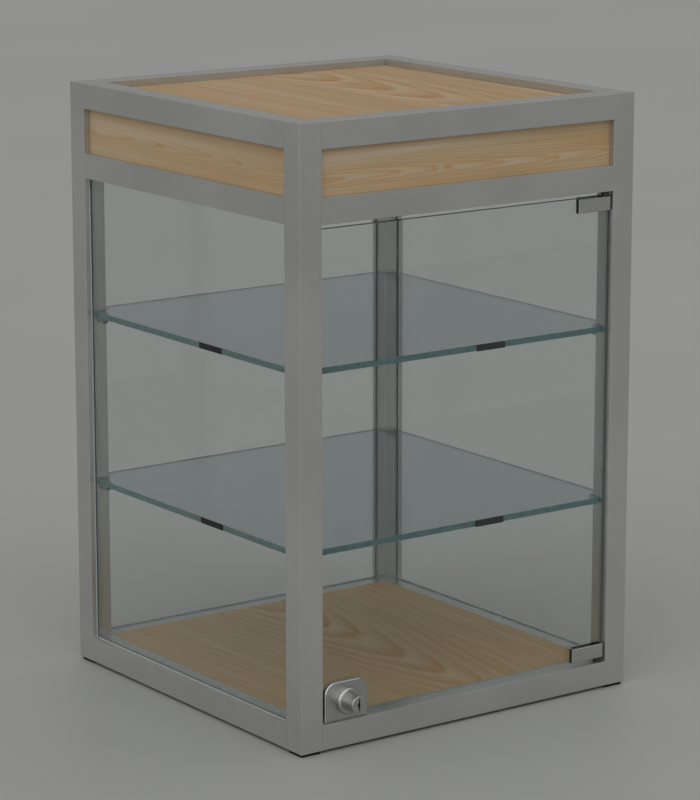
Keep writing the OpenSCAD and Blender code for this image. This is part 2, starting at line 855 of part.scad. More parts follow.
// The front rails have no pane: the lower one has the slot for the cam, and each has
// a bush for the door
module rail_bottom_front() {
    color(frame_grey) difference() {
        rail_bottom(front);
        at_lower_bush() bush_bore();
        cam_slot();
    }
}

module rail_bottom_right() { color(frame_grey) rail_bottom(right); }
module rail_bottom_rear() { color(frame_grey) rail_bottom(rear); }
module rail_bottom_left() { color(frame_grey) rail_bottom(left); }

module rail_middle_front() {
    color(frame_grey) difference() {
        rail_middle(front);
        at_upper_bush() bush_bore();
    }
}

module rail_middle_right() { color(frame_grey) rail_middle(right); }
module rail_middle_rear() { color(frame_grey) rail_middle(rear); }
module rail_middle_left() { color(frame_grey) rail_middle(left); }
module rail_top_front() { color(frame_grey) rail_top(front); }
module rail_top_right() { color(frame_grey) rail_top(right); }
module rail_top_rear() { color(frame_grey) rail_top(rear); }
module rail_top_left() { color(frame_grey) rail_top(left); }

// The lowest blocks also take the screws of the feet
module corner_blocks_bottom() {
    color("dimgray") difference() {
        for (side = sides) on_post(side) corner_block(low_block);
        at_feet() cylinder(h = foot_screw_sink + foot_screw_l, d = foot_screw_d);
    }
}

module corner_blocks_middle() {
    color("dimgray") for (side = sides) on_post(side) corner_block(mid_block);
}

module corner_blocks_top() {
    color("dimgray") for (side = sides) on_post(side) corner_block(high_block);
}

module base_board() {
    color(wood) difference() {
        inner_board(base_board_z, base_board_t);
        for (side = sides) at_board_screws(side)
            countersunk(board_screw_d, board_screw_head_d, board_screw_l);
    }
}

module base_board_screws() {
    color("silver") for (side = sides) at_board_screws(side)
        countersunk(board_screw_d, board_screw_head_d, board_screw_l);
}

module ceiling_board() { color(wood) inner_board(ceiling_z, ceiling_t); }
module top_board() { color(wood) inner_board(top_board_z, top_board_t); }
module fascia_front() { fascia(front); }
module fascia_right() { fascia(right); }
module fascia_rear() { fascia(rear); }
module fascia_left() { fascia(left); }
module pane_right() { pane(right); }
module pane_rear() { pane(rear); }
module pane_left() { pane(left); }
module seal_right() { seal(right); }
module seal_rear() { seal(rear); }
module seal_left() { seal(left); }
module shelf_lower() { shelf(lower_shelf_h); }
module shelf_upper() { shelf(upper_shelf_h); }
module shelf_buffers_lower() { shelf_buffers(lower_shelf_h); }
module shelf_buffers_upper() { shelf_buffers(upper_shelf_h); }
module shelf_studs_lower() { shelf_studs(lower_shelf_h); }
module shelf_studs_upper() { shelf_studs(upper_shelf_h); }

// A foot is a pad with a boss that fits in the end of the post
module feet() {
    color("black") at_feet() difference() {
        union() {
            linear_extrude(height = foot_h) foot_square(tube - 2 * foot_inset);
            translate([0, 0, foot_h]) linear_extrude(height = foot_boss_h)
                foot_square(block_side);
        }
        translate([0, 0, foot_screw_sink])
            countersunk(foot_screw_d, foot_screw_head_d, foot_screw_l, foot_screw_sink + overlap);
    }
}

module foot_screws() {
    color("silver") at_feet() translate([0, 0, foot_screw_sink])
        countersunk(foot_screw_d, foot_screw_head_d, foot_screw_l);
}

module door_glass() {
    color(clear_glass, 0.35) difference() {
        translate([door_left_x, door_front_y, door_foot_z])
            cube([door_right_x - door_left_x, door_t, door_head_z - door_foot_z]);
        at_upper_hinge() glass_notch();
        at_lower_hinge() glass_notch();
        at_lock(door_front_y - overlap)
            cylinder(h = door_t + 2 * overlap, d = barrel_d + 2 * barrel_gap);
    }
}

module hinge_clamp_upper() {
    color(steel) at_upper_hinge() hinge_clamp(door_head_gap);
}

module hinge_clamp_lower() {
    color(steel) at_lower_hinge() hinge_clamp(door_foot_gap);
}

module hinge_liners() {
    color("dimgray") {
        at_upper_hinge() clamp_liner();
        at_lower_hinge() clamp_liner();
    }
}

module hinge_grub_screws() {
    color("silver") {
        at_upper_hinge() at_grub_screws() grub_screw();
        at_lower_hinge() at_grub_screws() grub_screw();
    }
}

module pivot_bush_upper() { at_upper_bush() pivot_bush(door_head_gap); }
module pivot_bush_lower() { at_lower_bush() pivot_bush(door_foot_gap); }

// The plate, the collar, the nose and the threaded barrel are one casting
module lock_case() {
    color(steel) difference() {
        union() {
            facing_front(plate_t) lock_plate();
            facing_front(0) rotate_extrude() nose_profile();
            at_lock(frame_front_y + lock_bevel)
                cylinder(h = barrel_end_y - frame_front_y - lock_bevel, d = barrel_d);
        }
        at_lock(nose_front_y - overlap)
            cylinder(h = barrel_end_y - nose_front_y + 2 * overlap, d = plug_d + 2 * plug_clear);
    }
}

module lock_gaskets() {
    color("black") {
        facing_front(glass_inset) linear_extrude(height = gasket_t) front_gasket_outline();
        at_lock(door_rear_y) ring(washer_d, barrel_d + 2 * barrel_gap, gasket_t);
    }
}

module lock_washer() {
    color("silver") at_lock(washer_y) ring(washer_d, barrel_d, washer_t);
}

module lock_nut() {
    color("silver") at_lock(nut_y) linear_extrude(height = nut_t) difference() {
        hexagon(nut_af);
        circle(d = barrel_d);
    }
}

// The plug turns with the key, and its square tail carries the cam
module lock_plug() {
    face_y = nose_front_y + plug_recess;
    color(steel) difference() {
        union() {
            at_lock(face_y) cylinder(h = cam_y - face_y, d = plug_d);
            translate([lock_x - tail_side / 2, cam_y - overlap, lock_z - tail_side / 2])
                cube([tail_side, cam_t + overlap, tail_side]);
        }
        keyway(face_y);
        at_lock(cam_y + cam_t) cam_screw();
    }
}

// The cam points right while the door is unlocked, and turns down into the slot
module lock_cam() {
    color("silver") at_lock(cam_y) linear_extrude(height = cam_t) difference() {
        union() {
            circle(d = cam_hub_d);
            intersection() {
                translate([0, -cam_w / 2]) square([cam_reach, cam_w]);
                circle(r = cam_reach);
            }
        }
        square(tail_side, center = true);
    }
}

module lock_cam_screw() {
    color("silver") at_lock(cam_y + cam_t) cam_screw();
}

post_front_left();
post_front_right();
post_rear_right();
post_rear_left();
rail_bottom_front();
rail_bottom_right();
rail_bottom_rear();
rail_bottom_left();
rail_middle_front();
rail_middle_right();
rail_middle_rear();
rail_middle_left();
rail_top_front();
rail_top_right();
rail_top_rear();
rail_top_left();
corner_blocks_bottom();
corner_blocks_middle();
corner_blocks_top();
base_board();
base_board_screws();
ceiling_board();
top_board();
fascia_front();
fascia_right();
fascia_rear();
fascia_left();
pane_right();
pane_rear();
pane_left();
seal_right();
seal_rear();
seal_left();
shelf_lower();
shelf_upper();
shelf_buffers_lower();
shelf_buffers_upper();
shelf_studs_lower();
shelf_studs_upper();
feet();
foot_screws();
door_glass();
hinge_clamp_lower();
hinge_clamp_upper();
hinge_liners();
hinge_grub_screws();
pivot_bush_lower();
pivot_bush_upper();
lock_case();
lock_gaskets();
lock_washer();
lock_nut();
lock_plug();
lock_cam();
lock_cam_screw();
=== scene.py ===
import math

import bpy
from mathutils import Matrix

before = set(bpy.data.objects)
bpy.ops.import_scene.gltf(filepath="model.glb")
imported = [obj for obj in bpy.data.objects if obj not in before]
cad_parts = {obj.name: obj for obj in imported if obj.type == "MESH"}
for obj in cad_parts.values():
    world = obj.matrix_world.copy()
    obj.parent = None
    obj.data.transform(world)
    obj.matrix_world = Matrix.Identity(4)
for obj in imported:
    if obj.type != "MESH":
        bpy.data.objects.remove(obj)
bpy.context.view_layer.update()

X, Y, Z = 0, 1, 2

# Camera of the photograph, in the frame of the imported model
CAMERA_AT = (-1.874267, -2.575545, 0.994472)
CAMERA_PITCH = 12.518
CAMERA_YAW = 35.966
FOCAL_PX = 3236.613
LONG_SIDE_PX = 800
SENSOR_MM = 36.0
NEAR_CLIP, FAR_CLIP = 0.05, 100.0

# Light and floor
FLOOR_SIZE = 60.0
FLOOR_GREY = (0.284, 0.287, 0.279)
FLOOR_CLOUD = (1.2, 3.0, 0.5)
FLOOR_DARK_SHARE = 0.96
FLOOR_ROUGH = 0.42
BACKDROP_GREY = (0.268, 0.271, 0.264)
WHITE = (1.0, 1.0, 1.0)
WORLD_LIGHT = 0.50
# Each lamp's level, the spread of its disc in degrees, and the way to it
LAMPS = {
    "key": (0.52, 110.0, (-0.50, -0.80, 0.30)),
    "fill": (0.22, 100.0, (-0.95, -0.10, 0.24)),
    "top": (0.25, 85.0, (0.15, 0.05, 0.95)),
}

# In all values below, roughness is low and high, bump is strength and distance in metres, a spot
# noise is scale, detail and roughness, and a drawn noise is waves per metre along x, y and z,
# detail and roughness.

# The values that a noise mostly stays between, and places of two colours in a noise
NOISE_LOW, NOISE_HIGH = 0.3, 0.7
SOFT_STOPS, CRISP_STOPS, DUST_STOPS = (0.30, 0.70), (0.35, 0.65), (0.35, 0.75)

# Satin tube
TUBE_DARK, TUBE_PALE = (0.398, 0.399, 0.384), (0.526, 0.527, 0.508)
TUBE_TONE_STOPS = (0.32, 0.68)
TUBE_METALLIC = 0.77
TUBE_ROUGH = (0.215, 0.260)
TUBE_BUMP = (0.02, 0.0002)
TUBE_SPECKLE = (1300.0, 3.0, 0.7)
TUBE_SLOW = (9.0, 2.0, 0.5)
TUBE_WAVES_ALONG, TUBE_WAVES_ACROSS = 18.0, 900.0
TUBE_DETAIL, TUBE_GRAIN = 2.0, 0.6
SPECKLE_SHARE, DRAWN_SHARE, SLOW_SHARE = 0.55, 0.15, 0.30

# Door clamps
PLATE_DARK, PLATE_PALE = (0.475, 0.476, 0.475), (0.565, 0.566, 0.565)
# Near black for the side faces of the clamps' outer plates: painted dark reflection, not a black
# finish
PLATE_PAINTED_DARK_SIDE = (0.008, 0.008, 0.009)
PLATE_BACK_Y = -0.1842
PLATE_FACE_NORMAL = 0.6
PLATE_ROUGH = (0.18, 0.26)
PLATE_BUMP = (0.04, 0.0002)
PLATE_HAZE = (160.0, 4.0, 0.65)
PLATE_LINES = ((30.0, 1.0, 1600.0), 2.0, 0.5)

# Other metal
POLISH_HAZE = (90.0, 2.0, 0.5)
POLISH_LINES = ((700.0, 700.0, 40.0), 2.0, 0.5)
POLISH_DARK_SHARE = 0.94
POLISH_BUMP_DISTANCE = 0.0002

# Glass. A face's normal lies along its axis by more than FACE_NORMAL, and a ground rim's by less.
PANE_TINT, PANE_RIM, PANE_IOR = (0.885, 0.915, 0.908), (0.050, 0.085, 0.083), 1.45
SHELF_TINT, SHELF_RIM, SHELF_IOR = (0.636, 0.686, 0.722), (0.088, 0.172, 0.178), 1.50
FACE_NORMAL = 0.5
SMEAR = (9.0, 3.0, 0.5)
SMEAR_RANGE = (0.50, 0.85)
SMEAR_ROUGH = (0.0, 0.006)
GRIND = (260.0, 3.0, 0.6)
RIM_DARK_SHARE, RIM_PALE_SHARE = 0.72, 1.20
RIM_ROUGH = 0.28
RIM_TRANSMISSION = 0.25

# Rubber and plastic
RUBBER_SKIN = (900.0, 3.0, 0.6)
RUBBER_DUST = (60.0, 3.0, 0.6)
RUBBER_ROUGH = (0.55, 0.75)
RUBBER_BUMP = (0.15, 0.0003)
PLASTIC_PEEL = (420.0, 2.0, 0.5)
PLASTIC_BUMP = (0.08, 0.0002)
PLASTIC_DARK_SHARE = 0.92
PLASTIC_IOR = 1.46

# Pine veneer: the tones of its streaks from dark to pale, and their places in the streaks' noise
PINE = ((0.330, 0.212, 0.098), (0.345, 0.246, 0.136), (0.358, 0.268, 0.162), (0.400, 0.322, 0.222))
PINE_STOPS = (0.32, 0.45, 0.55, 0.68)
HEADER_GROWTH = (0.352, 0.187, 0.055)
TOP_GROWTH = (0.318, 0.172, 0.045)
BASE_GROWTH = (0.300, 0.158, 0.034)
KNOT_CORE = (0.330, 0.170, 0.040)
# The base board's tone is set far paler than the other boards' to paint in light that it lacks in
# the shade inside the case: painted light on top of the wood's own colour
HEADER_TONE, TOP_TONE, BASE_TONE_AND_PAINTED_LIGHT = (1.06, 1.08, 1.11), (0.93, 0.86, 0.77), (1.40, 1.25, 1.11)
HEADER_KNOT, SLAB_KNOT = (0.008, 0.0030), (0.016, 0.008)
# How dark a ring is from its inner to its outer side, and how strong its pale early wood is
LATE_WOOD = ((0.0, 0.0), (0.45, 0.0), (0.68, 0.5), (0.88, 1.0), (1.0, 0.0))
EARLY_WOOD = ((0.0, 0.0), (0.08, 1.0), (0.45, 0.0), (1.0, 0.0))
EARLY_SHARE = 0.7
KNOT_SHARE = 0.60
# The distance to a knot is counted in the knot's half sizes and ends at KNOT_FAR. Its core has
# the full tone out to KNOT_FULL, and the rings swerve round it out to KNOT_HALO.
KNOT_FULL, KNOT_HALO, KNOT_FAR = 0.5, 3.5, 10.0
# How far a knot and the small waver move a ring, counted in rings
HALO_SWIRL, WOBBLE_SWIRL = 0.5, 0.4
# The rings fade between these shares of the arches' reach, down to FADE_LEFT
FADE_FROM, FADE_TO, FADE_LEFT = 0.3, 1.8, 0.4
# The range of the patch noise, and the strength of the rings at the low end of it
PATCH_LOW, PATCH_HIGH, PATCH_LEFT = 0.36, 0.64, 0.35
LINE_STOPS = ((0.34, (0.90, 0.885, 0.86)), (0.66, (1.08, 1.085, 1.09)))
FIBRE_STOPS = ((0.32, (0.90, 0.89, 0.87)), (0.68, (1.07, 1.07, 1.07)))
FIBRE_HEIGHT, RING_HEIGHT = 0.7, -0.3
VENEER_BUMP = (0.14, 0.0004)
VENEER_ROUGH = (0.42, 0.56)
VENEER_SHINE = 0.32
# Noises of the veneer: waves per metre along and across the grain, step per seed, detail and
# roughness
BEND = (4.0, 9.0, 1.9, 1.0, 0.4)
SWELL = (6.0, 24.0, 3.7, 1.0, 0.4)
WOBBLE = (22.0, 190.0, 0.7, 2.0, 0.6)
PATCH = (7.0, 26.0, 2.9, 2.0, 0.5)
STREAK = (2.5, 60.0, 1.3, 2.0, 0.5)
LINE = (3.5, 330.0, 4.1, 2.0, 0.6)
FIBRE = (14.0, 820.0, 1.0, 3.0, 0.65)

# Sockets of the Mix node when it mixes colours
MIX_FACTOR, MIX_A, MIX_B, MIX_RESULT = 0, 6, 7, 2


def is_output(value):
    """True for an output socket, which is linked, and False for a plain value, which is set."""
    return isinstance(value, bpy.types.NodeSocket)


def opaque(colour):
    """A colour with full alpha."""
    return (*colour, 1.0)


def product(colour, other):
    """Two colours multiplied channel by channel."""
    return tuple(c * w for c, w in zip(colour, other))


def shaded(colour, share):
    """A colour times one number, held at white."""
    return tuple(min(1.0, share * c) for c in colour)


class Tree:
    """The node tree of one material, with short calls for the nodes that the materials use."""

    def __init__(self, name):
        self.material = bpy.data.materials.new(name)
        self.material.use_nodes = True
        self.nodes = self.material.node_tree.nodes
        self.links = self.material.node_tree.links
        self.nodes.clear()
        self.output = self.nodes.new("ShaderNodeOutputMaterial")
        coordinates = self.nodes.new("ShaderNodeTexCoord")
        self.place = coordinates.outputs["Object"]
        self.normal = coordinates.outputs["Normal"]

    def put(self, target, value):
        if is_output(value):
            self.links.new(value, target)
        else:
            target.default_value = value

    def principled(self, **values):
        shader = self.nodes.new("ShaderNodeBsdfPrincipled")
        for name, value in values.items():
            self.put(shader.inputs[name.replace("_", " ")], value)
        return shader.outputs[0]

    def mixed(self, factor, first, second):
        """Two shaders mixed by a factor."""
        node = self.nodes.new("ShaderNodeMixShader")
        for target, value in zip(node.inputs, (factor, first, second)):
            self.links.new(value, target)
        return node.outputs[0]

    def surface(self, out):
        self.links.new(out, self.output.inputs["Surface"])
        return self.material

    def math(self, operation, a, b=0.0):
        node = self.nodes.new("ShaderNodeMath")
        node.operation = operation
        self.put(node.inputs[0], a)
        self.put(node.inputs[1], b)
        return node.outputs[0]

    def add(self, first, *others):
        for other in others:
            first = self.math("ADD", first, other)
        return first

    def times(self, first, *others):
        for other in others:
            first = self.math("MULTIPLY", first, other)
        return first

    def square(self, value):
        return self.times(value, value)

    def root(self, *terms):
        """The square root of a sum."""
        return self.math("SQRT", self.add(*terms))

    def vector(self, x, y, z):
        node = self.nodes.new("ShaderNodeCombineXYZ")
        for target, value in zip(node.inputs, (x, y, z)):
            self.put(target, value)
        return node.outputs[0]

    def split(self, vector):
        node = self.nodes.new("ShaderNodeSeparateXYZ")
        self.links.new(vector, node.inputs[0])
        return node.outputs

    def noise(self, vector, scale, detail, rough):
        node = self.nodes.new("ShaderNodeTexNoise")
        self.links.new(vector, node.inputs["Vector"])
        node.inputs["Scale"].default_value = scale
        node.inputs["Detail"].default_value = detail
        node.inputs["Roughness"].default_value = rough
        return node.outputs[0]

    def spots(self, scale, detail, rough):
        """Noise that is alike in all directions."""
        return self.noise(self.place, scale, detail, rough)

    def drawn(self, waves, detail, rough):
        """Noise that is drawn out where it has fewer waves per metre."""
        node = self.nodes.new("ShaderNodeMapping")
        node.inputs["Scale"].default_value = waves
        self.links.new(self.place, node.inputs["Vector"])
        return self.noise(node.outputs[0], 1.0, detail, rough)

    def grained(self, u, v, seed, kind):
        """One of the noises of the veneer, drawn out along u."""
        along, across, step, detail, rough = kind
        place = self.vector(self.times(u, along), self.times(v, across), step * seed)
        return self.noise(place, 1.0, detail, rough)

    def ramp(self, factor, *stops):
        """A colour ramp with stops of place and colour."""
        node = self.nodes.new("ShaderNodeValToRGB")
        bar = node.color_ramp.elements
        while len(bar) < len(stops):
            bar.new(0.5)
        for mark, (place, colour) in zip(bar, stops):
            mark.position = place
            mark.color = opaque(colour)
        self.put(node.inputs[0], factor)
        return node.outputs[0]

    def two_tone(self, factor, stops, first, second):
        """A colour ramp from one colour to another."""
        return self.ramp(factor, *zip(stops, (first, second)))

    def curve(self, factor, stops):
        """A number that follows stops of place and level."""
        return self.ramp(factor, *((place, (level,) * 3) for place, level in stops))

    def spread(self, value, low, high, new_low, new_high):
        """A value whose range from low to high is moved to a new range and ends there."""
        node = self.nodes.new("ShaderNodeMapRange")
        self.put(node.inputs["Value"], value)
        node.inputs["From Min"].default_value = low
        node.inputs["From Max"].default_value = high
        node.inputs["To Min"].default_value = new_low
        node.inputs["To Max"].default_value = new_high
        return node.outputs[0]

    def between(self, noise, low, high):
        """A noise that is spread over a range."""
        return self.spread(noise, NOISE_LOW, NOISE_HIGH, low, high)

    def tint(self, blend, factor, a, b):
        node = self.nodes.new("ShaderNodeMix")
        node.data_type = "RGBA"
        node.blend_type = blend
        self.put(node.inputs[MIX_FACTOR], factor)
        self.put(node.inputs[MIX_A], a)
        self.put(node.inputs[MIX_B], b)
        return node.outputs[MIX_RESULT]

    def bump(self, height, strength, distance):
        node = self.nodes.new("ShaderNodeBump")
        node.inputs["Strength"].default_value = strength
        node.inputs["Distance"].default_value = distance
        self.links.new(height, node.inputs["Height"])
        return node.outputs[0]


def aluminium(name, axis):
    """Satin anodised tube: matt speckle, a faint grain along the tube and slow changes of tone."""
    t = Tree(name)
    waves = [TUBE_WAVES_ACROSS] * 3
    waves[axis] = TUBE_WAVES_ALONG
    speckle = t.spots(*TUBE_SPECKLE)
    drawn = t.drawn(waves, TUBE_DETAIL, TUBE_GRAIN)
    slow = t.spots(*TUBE_SLOW)
    tone = t.add(
        t.times(speckle, SPECKLE_SHARE), t.times(drawn, DRAWN_SHARE), t.times(slow, SLOW_SHARE)
    )
    return t.surface(t.principled(
        Base_Color=t.two_tone(tone, TUBE_TONE_STOPS, TUBE_DARK, TUBE_PALE),
        Metallic=TUBE_METALLIC,
        Roughness=t.between(slow, *TUBE_ROUGH),
        Normal=t.bump(speckle, *TUBE_BUMP),
    ))


def knot_distance(t, u, v, size, knots):
    """The distance to the nearest knot, where 1 is the outline of its ellipse."""
    length, width = size
    off = KNOT_FAR
    for knot_u, knot_v in knots:
        du = t.times(t.add(u, -knot_u), 1.0 / length)
        dv = t.times(t.add(v, -knot_v), 1.0 / width)
        off = t.math("MINIMUM", off, t.root(t.square(du), t.square(dv)))
    return off


def wood(name, along, across, seed, middle, depth, taper, drift, reach, pitch, swirl,
         contrast, streaks, fine, size, knots, warmth, growth):
    """Clear-finished pine veneer, in metres, with u along the grain and v across it.

    The growth rings are cut through a tapering log, so they show as nested arches about the line
    v = middle, which wanders by drift. The arches open toward +u where taper is above 0. The
    log's axis lies at depth below the face, pitch is the distance of the rings, reach the half
    width of the arches, and swirl tells how uneven the rings are. contrast is the strength of
    the rings, streaks that of the broad streaks and fine that of the fine lines. size is the
    half length and half width of the knots. warmth multiplies all tones but the fine lines', and
    growth is the tone of a ring's dark side.
    """
    t = Tree(name)
    place = t.split(t.place)
    u, v = place[along], place[across]
    off = knot_distance(t, u, v, size, knots)
    knot = t.spread(off, KNOT_FULL, 1.0, 1.0, 0.0)
    halo = t.spread(off, 0.0, KNOT_HALO, 1.0, 0.0)

    bend, swell, wobble = (t.grained(u, v, seed, kind) for kind in (BEND, SWELL, WOBBLE))
    side = t.add(v, -middle, t.times(t.add(bend, -0.5), drift))
    radius = t.root(t.square(side), depth * depth)
    ripple = t.add(
        t.times(t.add(swell, -0.5), swirl),
        t.times(t.add(wobble, -0.5), WOBBLE_SWIRL),
        t.times(halo, halo, HALO_SWIRL),
    )
    ring = t.math("FRACT", t.add(t.times(t.add(radius, t.times(u, -taper)), 1.0 / pitch), ripple))
    late, early = t.curve(ring, LATE_WOOD), t.curve(ring, EARLY_WOOD)
    aside = t.math("ABSOLUTE", side)
    near = t.spread(aside, 0.0, reach, 1.0, 0.0)
    fade = t.spread(aside, FADE_FROM * reach, FADE_TO * reach, 1.0, FADE_LEFT)
    patch = t.spread(t.grained(u, v, seed, PATCH), PATCH_LOW, PATCH_HIGH, PATCH_LEFT, 1.0)
    strong = t.times(t.math("MAXIMUM", patch, near), fade)

    streak, line, fibre = (t.grained(u, v, seed, kind) for kind in (STREAK, LINE, FIBRE))
    tones = [product(tone, warmth) for tone in PINE]
    broad = t.spread(streak, 0.0, 1.0, 0.5 - 0.5 * streaks, 0.5 + 0.5 * streaks)
    colour = t.ramp(broad, *zip(PINE_STOPS, tones))
    for share, tone in (
        (t.times(early, near, EARLY_SHARE * contrast), tones[-1]),
        (t.times(late, strong, contrast), product(growth, warmth)),
        (t.times(knot, KNOT_SHARE), product(KNOT_CORE, warmth)),
    ):
        colour = t.tint("MIX", share, colour, opaque(tone))
    for noise, stops in ((line, LINE_STOPS), (fibre, FIBRE_STOPS)):
        colour = t.tint("MULTIPLY", fine, colour, t.ramp(noise, *stops))
    height = t.add(t.times(fibre, FIBRE_HEIGHT), t.times(late, RING_HEIGHT))
    return t.surface(t.principled(
        Base_Color=colour,
        Roughness=t.between(fibre, *VENEER_ROUGH),
        Specular_IOR_Level=VENEER_SHINE,
        Normal=t.bump(height, *VENEER_BUMP),
    ))


def glass(name, tint, rim, face_axis, ior):
    """Float glass with clear, faintly tinted faces and green ground edges."""
    t = Tree(name)
    facing = t.math("ABSOLUTE", t.split(t.normal)[face_axis])
    edge = t.math("LESS_THAN", facing, FACE_NORMAL)
    rough = t.spread(t.spots(*SMEAR), *SMEAR_RANGE, *SMEAR_ROUGH)
    clear = t.principled(
        Base_Color=opaque(tint), Roughness=rough, IOR=ior, Transmission_Weight=1.0
    )
    low, high = shaded(rim, RIM_DARK_SHARE), shaded(rim, RIM_PALE_SHARE)
    edge_colour = t.two_tone(t.spots(*GRIND), CRISP_STOPS, low, high)
    ground = t.principled(
        Base_Color=edge_colour, Roughness=RIM_ROUGH, IOR=ior, Transmission_Weight=RIM_TRANSMISSION
    )
    path = t.nodes.new("ShaderNodeLightPath")
    passing = t.nodes.new("ShaderNodeBsdfTransparent")
    passing.inputs[0].default_value = opaque(tint)
    both = t.mixed(edge, clear, ground)
    return t.surface(t.mixed(path.outputs["Is Shadow Ray"], both, passing.outputs[0]))


def rubber(name, colour, bloom, shine):
    """Matt rubber or soft plastic with a fine skin and a little grey bloom."""
    t = Tree(name)
    skin = t.spots(*RUBBER_SKIN)
    return t.surface(t.principled(
        Base_Color=t.two_tone(t.spots(*RUBBER_DUST), DUST_STOPS, colour, bloom),
        Roughness=t.between(skin, *RUBBER_ROUGH),
        Specular_IOR_Level=shine,
        Normal=t.bump(skin, *RUBBER_BUMP),
    ))


def polished(name, colour, low, high, ripple):
    """Polished, turned or cast metal with haze and faint lines, and roughness low to high."""
    t = Tree(name)
    haze = t.spots(*POLISH_HAZE)
    lines = t.drawn(*POLISH_LINES)
    return t.surface(t.principled(
        Base_Color=t.two_tone(haze, SOFT_STOPS, shaded(colour, POLISH_DARK_SHARE), colour),
        Metallic=1.0,
        Roughness=t.between(haze, low, high),
        Normal=t.bump(lines, ripple, POLISH_BUMP_DISTANCE),
    ))


def plated(name):
    """A clamp of satin metal, whose outer plate has a bright face and black edges; the black on
    its side faces is painted dark reflection, set by the faces' direction.
    """
    t = Tree(name)
    facing = t.math("ABSOLUTE", t.split(t.normal)[Y])
    on_plate = t.math("LESS_THAN", t.split(t.place)[Y], PLATE_BACK_Y)
    # The plate's side faces, picked by their normals, get the painted dark reflection and lose
    # their metal
    edge = t.times(t.math("LESS_THAN", facing, PLATE_FACE_NORMAL), on_plate)
    haze = t.spots(*PLATE_HAZE)
    lines = t.drawn(*PLATE_LINES)
    bright = t.two_tone(haze, SOFT_STOPS, PLATE_DARK, PLATE_PALE)
    return t.surface(t.principled(
        Base_Color=t.tint("MIX", edge, bright, opaque(PLATE_PAINTED_DARK_SIDE)),
        Metallic=t.math("SUBTRACT", 1.0, edge),
        Roughness=t.between(haze, *PLATE_ROUGH),
        Normal=t.bump(lines, *PLATE_BUMP),
    ))


def plastic(name, colour, transmission, low, high):
    """Moulded plastic with a slight orange peel, and roughness low to high."""
    t = Tree(name)
    peel = t.spots(*PLASTIC_PEEL)
    return t.surface(t.principled(
        Base_Color=t.two_tone(peel, CRISP_STOPS, shaded(colour, PLASTIC_DARK_SHARE), colour),
        Roughness=t.between(peel, low, high),
        IOR=PLASTIC_IOR,
        Transmission_Weight=transmission,
        Normal=t.bump(peel, *PLASTIC_BUMP),
    ))


HEADER_WOOD = dict(
    across=Z, reach=0.020, pitch=0.0024, size=HEADER_KNOT, warmth=HEADER_TONE, growth=HEADER_GROWTH
)
WIDE_HEADER = dict(
    HEADER_WOOD, along=X, drift=0.012, swirl=1.0, contrast=0.66, streaks=1.15, fine=0.50
)
wood_front = wood(
    "veneer_front", seed=1.0, middle=0.548, depth=0.0052, taper=-0.037,
    knots=((-0.024, 0.548), (0.107, 0.5466)), **WIDE_HEADER
)
wood_rear = wood(
    "veneer_rear", seed=2.3, middle=0.552, depth=0.0056, taper=0.037,
    knots=((-0.070, 0.552), (0.090, 0.551)), **WIDE_HEADER
)
wood_right = wood(
    "veneer_right", along=Y, seed=1.7, middle=0.550, depth=0.0056, taper=-0.037, drift=0.008,
    swirl=0.8, contrast=0.56, streaks=0.9, fine=0.40,
    knots=((0.015, 0.550), (-0.120, 0.552)), **HEADER_WOOD
)
wood_left = wood(
    "veneer_left", along=Y, seed=5.2, middle=0.555, depth=0.0061, taper=0.037, drift=0.006,
    swirl=0.6, contrast=0.44, streaks=0.7, fine=0.30,
    knots=((0.0536, 0.555), (-0.081, 0.554)), **HEADER_WOOD
)
SLAB_WOOD = dict(along=Y, across=X, contrast=1.0, size=SLAB_KNOT)
wood_top = wood(
    "veneer_top", seed=0.6, middle=0.050, depth=0.031, taper=0.180, drift=0.020, reach=0.060,
    pitch=0.0150, swirl=0.5, streaks=0.55, fine=0.65,
    knots=((0.075, 0.050),), warmth=TOP_TONE, growth=TOP_GROWTH, **SLAB_WOOD
)
# Its warmth holds painted light, which makes up for the shade inside the case
wood_base = wood(
    "veneer_base", seed=4.2, middle=0.020, depth=0.0344, taper=0.170, drift=0.010, reach=0.050,
    pitch=0.0110, swirl=0.3, streaks=0.35, fine=0.90,
    knots=((0.036, 0.020),), warmth=BASE_TONE_AND_PAINTED_LIGHT, growth=BASE_GROWTH, **SLAB_WOOD
)

tube_x, tube_y, tube_z = (aluminium("anodised_" + "xyz"[axis], axis) for axis in (X, Y, Z))
pane_y = glass("pane_glass_y", PANE_TINT, PANE_RIM, Y, PANE_IOR)
pane_x = glass("pane_glass_x", PANE_TINT, PANE_RIM, X, PANE_IOR)
shelf_glass = glass("shelf_glass", SHELF_TINT, SHELF_RIM, Z, SHELF_IOR)
black = rubber(
    "black_rubber", colour=(0.004, 0.004, 0.005), bloom=(0.008, 0.008, 0.009), shine=0.15
)
seal_rubber = rubber(
    "seal_rubber", colour=(0.360, 0.372, 0.375), bloom=(0.420, 0.432, 0.435), shine=0.4
)
satin = polished("satin_metal", colour=(0.46, 0.46, 0.45), low=0.30, high=0.36, ripple=0.005)
steel = polished("turned_steel", colour=(0.45, 0.45, 0.44), low=0.29, high=0.40, ripple=0.10)
alloy = polished("cast_alloy", colour=(0.36, 0.36, 0.35), low=0.45, high=0.60, ripple=0.15)
clamp_metal = plated("clamp_metal")
clear_plastic = plastic(
    "clear_plastic", colour=(0.85, 0.88, 0.88), transmission=0.90, low=0.04, high=0.10
)
dark_plastic = plastic(
    "black_plastic", colour=(0.014, 0.014, 0.015), transmission=0.0, low=0.35, high=0.48
)

